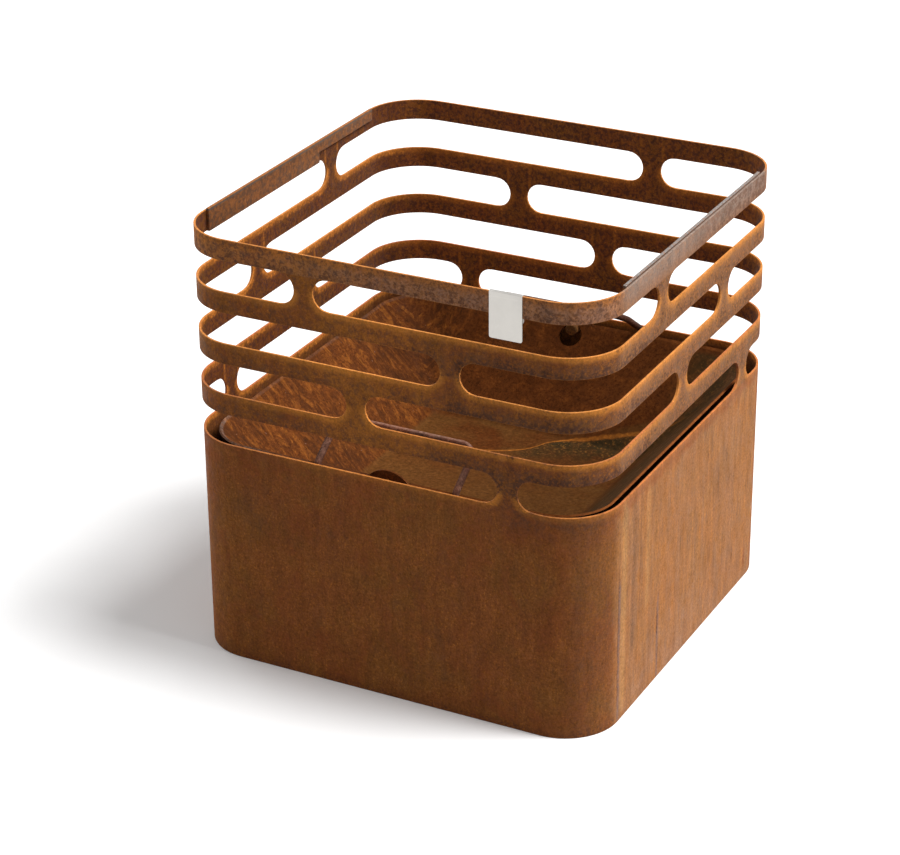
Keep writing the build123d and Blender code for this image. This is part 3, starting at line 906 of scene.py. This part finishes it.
def rounded_square(half, radius, flats, arcs):
    """Plan points round a rounded square, wall by wall, each wall starting at its left end.

    flats are places along a wall's flat, from its middle, and arcs is the parts of a corner."""
    points = []
    flat = half - radius
    for wall in range(4):
        turn = math.pi / 2 * wall
        points += [turned(place, -half, turn) for place in flats]
        for step in range(1, arcs):
            angle = math.pi / 2 * step / arcs
            points.append(turned(flat + radius * math.sin(angle), -flat - radius * math.cos(angle), turn))
    return points


def wall_places(flat, reach, shares):
    """Places of the vertices along a wall's flat: round each strut, and evenly between them."""
    struts = {round(place + reach * share, 7) for place in settings().strut_places for share in shares}
    ordered = [-flat]
    for place in sorted(struts | {-flat, flat}):
        if place - ordered[-1] > CLOSEST_PLACES and (flat - place > CLOSEST_PLACES or place == flat):
            ordered.append(place)
    places = set(ordered)
    for low, high in zip(ordered[:-1], ordered[1:]):
        parts = math.ceil((high - low) / WIDEST_PLACES)
        places |= {low + (high - low) * step / parts for step in range(1, parts)}
    return sorted(places)


def make_sheet_ring():
    """The shell: rings of sheet with struts between them, and one tall ring below."""
    values = settings()
    half, top = SHELL_HIGH.x, SHELL_HIGH.z
    flat = half - values.corner_radius
    end = values.window / 2
    reach = values.strut / 2 + end
    shares = [step / 4 for step in range(-4, 5)]
    flats = wall_places(flat, reach, shares)
    plan = rounded_square(half, values.corner_radius, flats, SHELL_CORNER_PARTS)
    per_wall = len(plan) // 4
    bm = bmesh.new()
    above = new_ring(bm, plan, top)
    below = new_ring(bm, plan, top - values.top_band)
    join_rings(bm, below, above)
    for row, place in enumerate(values.strut_places):
        window_top = top - values.top_band - row * (values.window + values.band)
        window_foot = window_top - values.window
        middle = (window_top + window_foot) / 2
        foot = new_ring(bm, plan, window_foot)
        for wall in range(4):
            columns = [wall * per_wall + flats.index(min(
                flats, key=lambda f: abs(f - place - reach * share))) for share in shares]
            last = [foot[column] for column in columns]
            for step in range(1, STRUT_PARTS + 1):
                angle = math.pi * (step / STRUT_PARTS - 0.5)
                if step == STRUT_PARTS:
                    line = [below[column] for column in columns]
                else:
                    width = reach - end * math.cos(angle)
                    height = middle + end * math.sin(angle)
                    line = [bm.verts.new((*turned(place + width * share, -half, math.pi / 2 * wall), height))
                            for share in shares]
                for index in range(len(shares) - 1):
                    bm.faces.new([last[index], last[index + 1], line[index + 1], line[index]])
                last = line
        if row < len(values.strut_places) - 1:
            below = new_ring(bm, plan, window_foot - values.band)
            join_rings(bm, below, foot)
    upper = foot
    for step in range(1, BODY_RINGS + 1):
        lower = new_ring(bm, plan, window_foot * (1 - step / BODY_RINGS))
        join_rings(bm, lower, upper)
        upper = lower

    def inner_place(co):
        corner = Vector((math.copysign(max(abs(co.x) - flat, 0.0), co.x),
                         math.copysign(max(abs(co.y) - flat, 0.0), co.y), 0.0))
        return co - corner.normalized() * values.sheet

    thicken(bm, inner_place)
    piece = new_piece("windowed_sheet_ring", bm, "basket", "shell", "Sheet patina")
    soften_edges(piece, values.sheet_edge)


class EarLine:
    """The upper edge of an ear: an arc on top, and a small arc at each foot that meets the rim."""

    def __init__(self, rim, top):
        values = settings()
        rise = top - rim
        self.rim, self.flare = rim, values.ear_flare
        self.radius = (rise ** 2 + values.ear_half_width ** 2) / (2 * rise)
        self.centre = top - self.radius
        drop = rim + self.flare - self.centre
        self.half_width = math.sqrt((self.radius + self.flare) ** 2 - drop ** 2)
        self.meeting = self.half_width * self.radius / (self.radius + self.flare)

    def height(self, x):
        x = abs(x)
        if x >= self.half_width:
            return self.rim
        if x <= self.meeting:
            return self.centre + math.sqrt(self.radius ** 2 - x ** 2)
        return self.rim + self.flare - math.sqrt(max(self.flare ** 2 - (self.half_width - x) ** 2, 0.0))


def make_bowl():
    """The fire bowl: one sheet folded into a hopper, with an ear and a keyhole at each end."""
    values = settings()
    low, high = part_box("front_pivot_pin")
    pin_height = (low.z + high.z) / 2
    half, ear_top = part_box("fire_bowl")[1].x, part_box("fire_bowl")[1].z
    rim = pin_height + values.rim_above_pin
    slope, sheet = values.bowl_slope, values.bowl_sheet
    floor_under = rim - values.bowl_depth - sheet
    fold = values.bowl_fold + sheet
    ear = EarLine(rim, ear_top)
    floor_half = half - (rim - floor_under) / math.tan(slope)

    def outline(height, inset=0.0):
        """The outer surface's plan points at a height, or further in on the floor."""
        share = (height - floor_under) / (rim - floor_under)
        at = floor_half + share * (half - floor_half) - inset
        radius = values.bowl_floor_corner + share * (values.bowl_rim_corner - values.bowl_floor_corner)
        radius = max(radius - inset, 0.5 * MM)
        narrowing = 0.55 + 0.45 * min(1.0, max(0.0, share))
        places = [ear.half_width * ear_share * narrowing for ear_share in EAR_SHARES]
        ear_end = places[-1]
        places += [ear_end + (at - radius - ear_end) * share_out for share_out in RIM_SHARES]
        line = sorted({-place for place in places} | set(places))
        return rounded_square(at, radius, line, BOWL_CORNER_PARTS)

    bm = bmesh.new()
    tangent = fold * math.tan(slope / 2)
    rim_ring = upper = new_ring(bm, outline(rim), rim)
    plans = []
    for share in (0.06, 0.25, 0.5, 0.75):
        height = rim + (floor_under + tangent * math.sin(slope) - rim) * share
        plans.append((outline(height), height))
    # The fold goes from the wall's slope to the level floor in a round of its own.
    for step in range(FOLD_PARTS + 1):
        angle = slope * (1 - step / FOLD_PARTS)
        plans.append((outline(floor_under, tangent - fold * math.sin(angle)),
                      floor_under + fold * (1 - math.cos(angle))))
    for share in (0.35, 0.7):
        plans.append((outline(floor_under, tangent + (floor_half - tangent) * share), floor_under))
    for plan, height in plans:
        lower = new_ring(bm, plan, height)
        join_rings(bm, lower, upper)
        upper = lower
    bm.faces.new(upper)

    hair = MM / 100
    for side in (-1, 1):
        edge = [vertex for vertex in rim_ring
                if vertex.co.y * side > half - MM / 2 and abs(vertex.co.x) <= ear.half_width + hair]
        edge.sort(key=lambda vertex: vertex.co.x)
        tops = [vertex if abs(abs(vertex.co.x) - ear.half_width) < hair else bm.verts.new(
            (vertex.co.x, vertex.co.y, ear.height(vertex.co.x))) for vertex in edge]
        for index in range(len(edge) - 1):
            corners = [edge[index], edge[index + 1], tops[index + 1], tops[index]]
            bm.faces.new(list(dict.fromkeys(corners)))

    piece = new_piece("folded_fire_bowl", bm, "bowl", "fire_bowl", "Bowl patina")
    plate = piece.modifiers.new("Sheet", "SOLIDIFY")
    plate.thickness = sheet
    plate.offset = -1.0
    plate.use_even_offset = True
    cut_keyholes(piece, pin_height, half, rim)
    soften_edges(piece, values.sheet_edge)


def cut_keyholes(piece, pin_height, half, rim):
    """Cuts the round keyhole and the slot for the pin through the front and the rear wall."""
    values = settings()
    low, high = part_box("front_pivot_pin")
    slot = (high.x - low.x) / 2 + values.pin_fit
    hole_height = pin_height - values.keyhole_drop
    cutter = bmesh.new()
    for side in (-1, 1):
        place = side * (half - (rim - hole_height) / math.tan(values.bowl_slope))
        away = Vector((0, side * math.sin(values.bowl_slope), -math.cos(values.bowl_slope)))
        turn = away.to_track_quat("Z", "Y").to_matrix().to_4x4()
        turn.translation = Vector((0, place, hole_height))
        bmesh.ops.create_cone(cutter, cap_ends=True, segments=2 * SLOT_PARTS, radius1=values.keyhole_radius,
                              radius2=values.keyhole_radius, depth=12 * MM, matrix=turn)
        outline = []
        for step in range(SLOT_PARTS + 1):
            angle = math.pi * step / SLOT_PARTS
            outline.append((slot * math.cos(angle), pin_height + slot * math.sin(angle)))
        outline += [(-slot, hole_height), (slot, hole_height)]
        near, far = side * (half - 25 * MM), side * (half + 5 * MM)
        fronts = [cutter.verts.new((x, near, z)) for x, z in outline]
        backs = [cutter.verts.new((x, far, z)) for x, z in outline]
        cutter.faces.new(fronts)
        cutter.faces.new(list(reversed(backs)))
        join_rings(cutter, fronts, backs)
    bmesh.ops.recalc_face_normals(cutter, faces=cutter.faces)
    mesh = bpy.data.meshes.new("Keyhole cutter")
    cutter.to_mesh(mesh)
    cutter.free()
    holder = bpy.data.objects.new("Keyhole cutter", mesh)
    bpy.context.scene.collection.objects.link(holder)
    boolean = piece.modifiers.new("Keyholes", "BOOLEAN")
    boolean.operation = "DIFFERENCE"
    boolean.solver = "EXACT"
    boolean.use_self = True
    boolean.object = holder
    shaped = bpy.data.meshes.new_from_object(piece.evaluated_get(
        bpy.context.evaluated_depsgraph_get()))
    piece.modifiers.clear()
    piece.data = shaped
    bpy.data.objects.remove(holder)


def soft_copy(node, name, material, width, angle=30.0):
    """A copy of a node with its sharp edges rounded."""
    bm = bmesh.new()
    bm.from_mesh(frame["nodes"][node].data)
    bmesh.ops.remove_doubles(bm, verts=bm.verts, dist=0.002 * MM)
    bmesh.ops.dissolve_limit(bm, angle_limit=math.radians(0.5), verts=bm.verts, edges=bm.edges)
    bodies = frame["record"]["behaviour"]["bodies"]
    body = next(body for body, nodes in bodies.items() if node in nodes)
    soften_edges(new_piece(name, bm, body, node, material), width, angle)


def add_sun(scene, name, strength, spread, towards):
    """Adds a soft distant light that shines from a direction."""
    sun = bpy.data.lights.new(name, "SUN")
    sun.energy = strength
    sun.angle = math.radians(spread)
    lamp = bpy.data.objects.new(name, sun)
    lamp.rotation_euler = Vector(towards).to_track_quat("Z", "Y").to_euler()
    scene.collection.objects.link(lamp)


def make_camera(scene):
    """The photograph's view, as a long lens from the front right and above."""
    camera = bpy.data.cameras.new("Camera")
    camera.lens = CAMERA_LENS
    camera.sensor_width = 36.0
    camera.sensor_fit = "HORIZONTAL"
    holder = bpy.data.objects.new("Camera", camera)
    holder.location = CAMERA_PLACE
    holder.rotation_euler = Euler([math.radians(angle) for angle in CAMERA_TURN])
    scene.collection.objects.link(holder)
    scene.camera = holder


def make_world(scene, fill):
    """A white surround that lights the basket only as strongly as the fill."""
    world = bpy.data.worlds.new("Studio")
    world.use_nodes = True
    world.node_tree.nodes.clear()
    tree = Tree(world.node_tree)
    strength = tree.plus(tree.seen(), 1.0 - fill, fill)
    sky = tree.add("ShaderNodeBackground", {"Color": (1, 1, 1), "Strength": strength})
    output = tree.add("ShaderNodeOutputWorld")
    tree.join(sky.outputs[0], output.inputs["Surface"])
    scene.world = world


def make_floor(scene):
    """A white floor that glows a little to the eye and throws little light back."""
    mesh = bpy.data.meshes.new("Floor")
    mesh.from_pydata([(-FLOOR_REACH, -FLOOR_REACH, 0), (FLOOR_REACH, -FLOOR_REACH, 0),
                      (FLOOR_REACH, FLOOR_REACH, 0), (-FLOOR_REACH, FLOOR_REACH, 0)],
                     [], [(0, 1, 2, 3)])
    floor = bpy.data.objects.new("Floor", mesh)
    floor.location.z = -0.1 * MM
    scene.collection.objects.link(floor)
    material = bpy.data.materials.new("White floor")
    material.use_nodes = True
    material.node_tree.nodes.clear()
    tree = Tree(material.node_tree)
    seen = tree.seen()
    colour = tree.blend(seen, (0.2, 0.2, 0.2), (1.0, 1.0, 1.0))
    diffuse = tree.add("ShaderNodeBsdfDiffuse", {"Color": colour})
    glow = tree.add("ShaderNodeEmission", {"Color": (1, 1, 1), "Strength": tree.times(seen, 0.03)})
    both = tree.add("ShaderNodeAddShader")
    tree.join(diffuse.outputs[0], both.inputs[0])
    tree.join(glow.outputs[0], both.inputs[1])
    output = tree.add("ShaderNodeOutputMaterial")
    tree.join(both.outputs[0], output.inputs["Surface"])
    mesh.materials.append(material)


class FIREBASKET_OT_stage(bpy.types.Operator):
    """Makes the camera, the lights and the white floor"""

    bl_idname = "firebasket.stage"
    bl_label = "Stage"

    def execute(self, context):
        values = settings()
        scene = context.scene
        scene.view_settings.view_transform = "Standard"
        make_camera(scene)
        add_sun(scene, "Key light", values.key_strength, 30, (0.580, 0.2065, 0.788))
        add_sun(scene, "Side light", values.side_strength, 60, (-0.9, 0.2, 0.45))
        make_world(scene, values.fill_strength)
        make_floor(scene)
        return {"FINISHED"}


class FIREBASKET_OT_finishes(bpy.types.Operator):
    """Makes the shared effects and the materials"""

    bl_idname = "firebasket.finishes"
    bl_label = "Finishes"

    def execute(self, context):
        values = settings()
        make_patina_group()
        make_places_group()
        make_sheet_finish()
        make_bowl_finish()
        make_strip_finish()
        make_rod_finish("Rod patina", values.rod_brown, values.rust_pale, 0.2, 0.3 * MM)
        make_rod_finish("Pin patina", values.pin_brown, values.rust_orange, 0.3, 0.6 * MM)
        make_clip_finish()
        return {"FINISHED"}


class FIREBASKET_OT_shell(bpy.types.Operator):
    """Makes the shell with its rows of windows"""

    bl_idname = "firebasket.shell"
    bl_label = "Sheet ring"

    def execute(self, context):
        make_sheet_ring()
        return {"FINISHED"}


class FIREBASKET_OT_bowl(bpy.types.Operator):
    """Makes the fire bowl that turns on the pins"""

    bl_idname = "firebasket.bowl"
    bl_label = "Fire bowl"

    def execute(self, context):
        make_bowl()
        return {"FINISHED"}


class FIREBASKET_OT_fittings(bpy.types.Operator):
    """Makes the strips, the label clip, the pins and the handles"""

    bl_idname = "firebasket.fittings"
    bl_label = "Fittings"

    def execute(self, context):
        for side in ("left", "right"):
            soft_copy(f"{side}_strip", f"{side}_edge_strip", "Strip patina", 0.3 * MM, 50)
        soft_copy("label_clip", "folded_label_clip", "Clip steel", 0.15 * MM, 50)
        for end in ("front", "rear"):
            soft_copy(f"{end}_pivot_pin", f"{end}_bearing_pin", "Pin patina", 0.2 * MM)
            soft_copy(f"{end}_handle", f"{end}_bent_handle", "Rod patina", 0.3 * MM, 60)
        return {"FINISHED"}


class FIREBASKET_PT_panel(bpy.types.Panel):
    """Lists the steps that dress the fire basket"""

    bl_idname = "FIREBASKET_PT_panel"
    bl_label = "Fire basket"
    bl_space_type = "VIEW_3D"
    bl_region_type = "UI"
    bl_category = "Fire basket"

    def draw(self, context):
        for step in STEPS:
            self.layout.operator(step.bl_idname)
        for name in FireBasketSettings.__annotations__:
            self.layout.prop(context.scene.fire_basket, name)


STEPS = (FIREBASKET_OT_stage, FIREBASKET_OT_finishes, FIREBASKET_OT_shell, FIREBASKET_OT_bowl,
         FIREBASKET_OT_fittings)
CLASSES = (FireBasketSettings, *STEPS, FIREBASKET_PT_panel)


def register():
    for item in CLASSES:
        bpy.utils.register_class(item)
    bpy.types.Scene.fire_basket = bpy.props.PointerProperty(type=FireBasketSettings)


def unregister():
    del bpy.types.Scene.fire_basket
    for item in reversed(CLASSES):
        bpy.utils.unregister_class(item)


def main():
    register()
    bpy.ops.firebasket.stage()
    bpy.ops.firebasket.finishes()
    bpy.ops.firebasket.shell()
    bpy.ops.firebasket.bowl()
    bpy.ops.firebasket.fittings()


if __name__ == "__main__":
    main()
